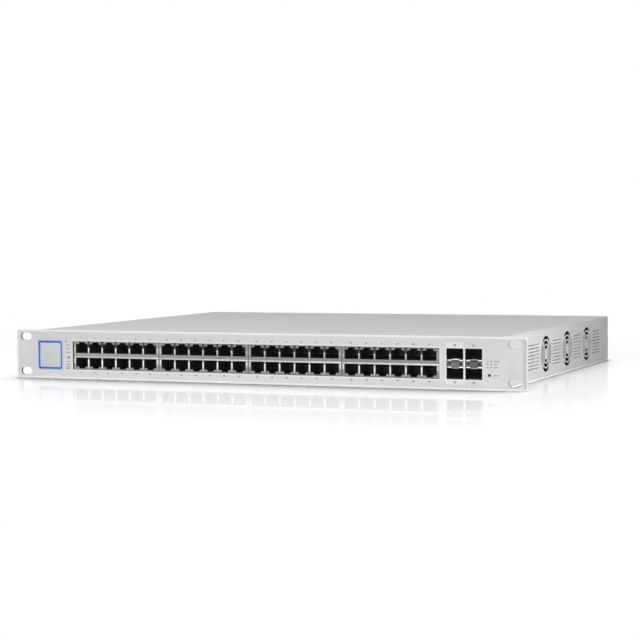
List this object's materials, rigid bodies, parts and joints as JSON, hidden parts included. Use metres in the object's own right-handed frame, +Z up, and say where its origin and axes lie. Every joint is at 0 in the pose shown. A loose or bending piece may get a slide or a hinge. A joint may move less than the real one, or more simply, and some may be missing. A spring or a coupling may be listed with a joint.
{
  "type": "rack network switch",
  "caption": "Shallow rack-mount network switch with ganged copper jacks in front, module cages, a lit square ring and side fans.",
  "frame": {"origin": "under the middle of the unit, on the plane that the base stands on", "axes": "+X to the viewer's right along the front panel, +Y from the front panel to the rear, +Z up"},
  "size_m": [0.485, 0.3628, 0.044],
  "materials": {
    "case_paint": "fine matt light-grey powder coat",
    "panel_paint": "fine matt pale-grey powder coat",
    "zinc_steel": "bright zinc plate",
    "light_ring_plastic": "blue translucent light guide",
    "shield_steel": "nickel-plated stamped steel",
    "jack_plastic": "black moulded plastic",
    "contact_gold": "gold-plated spring wire",
    "lamp_plastic": "smoky clear light pipe",
    "circuit_board": "green solder mask",
    "chip_plastic": "black moulded package",
    "header_plastic": "ivory moulded plastic",
    "heatsink_aluminium": "plain extruded aluminium",
    "insulator_film": "milky insulating film",
    "winding_tape": "yellow winding tape",
    "capacitor_sleeve": "dark shrink sleeve",
    "copper_winding": "enamelled copper wire",
    "inlet_brass": "plated brass",
    "fan_plastic": "black glass-filled plastic",
    "lead_sleeve": "insulated flexible lead"
  },
  "bodies": {
    "chassis": {"base_pan": "case_paint", "top_cover": "case_paint", "cover_screws": "zinc_steel", "front_panel": "panel_paint", "panel_studs": "zinc_steel", "panel_nuts": "zinc_steel", "status_light_ring": "light_ring_plastic", "status_badge": "panel_paint", "status_led_board": "circuit_board", "jack_shield_1": "shield_steel", "jack_shield_2": "shield_steel", "jack_shield_3": "shield_steel", "jack_shield_4": "shield_steel", "jack_housing_1": "jack_plastic", "jack_housing_2": "jack_plastic", "jack_housing_3": "jack_plastic", "jack_housing_4": "jack_plastic", "jack_contacts_1": "contact_gold", "jack_contacts_2": "contact_gold", "jack_contacts_3": "contact_gold", "jack_contacts_4": "contact_gold", "jack_lamps_1": "lamp_plastic", "jack_lamps_2": "lamp_plastic", "jack_lamps_3": "lamp_plastic", "jack_lamps_4": "lamp_plastic", "module_cage": "shield_steel", "module_cage_fingers": "shield_steel", "module_connectors": "jack_plastic", "module_cage_lamps": "lamp_plastic", "reset_switch_body": "jack_plastic", "main_board": "circuit_board", "board_posts": "zinc_steel", "board_screws": "zinc_steel", "board_chips": "chip_plastic", "board_headers": "header_plastic", "switch_chip_heatsink": "heatsink_aluminium", "port_chip_heatsinks": "heatsink_aluminium", "power_board": "circuit_board", "power_insulator": "insulator_film", "power_transformers": "winding_tape", "power_capacitors": "capacitor_sleeve", "power_choke": "copper_winding", "power_heatsinks": "heatsink_aluminium", "power_terminals": "header_plastic", "power_inlet": "jack_plastic", "inlet_pins": "inlet_brass", "inlet_screws": "zinc_steel", "earth_screw": "inlet_brass", "fan_bracket": "zinc_steel", "fan_screws": "zinc_steel", "fan_frame_1": "fan_plastic", "fan_frame_2": "fan_plastic", "fan_frame_3": "fan_plastic", "mains_leads": "lead_sleeve", "dc_leads": "lead_sleeve", "fan_leads": "lead_sleeve"},
    "rotor_1": {"fan_rotor_1": "fan_plastic"},
    "rotor_2": {"fan_rotor_2": "fan_plastic"},
    "rotor_3": {"fan_rotor_3": "fan_plastic"},
    "reset_button": {"reset_plunger": "jack_plastic"}
  },
  "joints": [
    {"name": "fan_spin_1", "type": "hinge", "parent": "chassis", "child": "rotor_1", "pos_m": [0.2081, -0.0494, 0.0215], "axis": [1, 0, 0], "continuous": true},
    {"name": "fan_spin_2", "type": "hinge", "parent": "chassis", "child": "rotor_2", "pos_m": [0.2081, 0.0222, 0.0215], "axis": [1, 0, 0], "continuous": true},
    {"name": "fan_spin_3", "type": "hinge", "parent": "chassis", "child": "rotor_3", "pos_m": [0.2081, 0.0938, 0.0215], "axis": [1, 0, 0], "continuous": true},
    {"name": "reset_press", "type": "slide", "parent": "chassis", "child": "reset_button", "axis": [0, 1, 0], "range_m": [0, 0.0005], "stiffness_N_per_m": 400, "springref_m": -0.001}
  ]
}
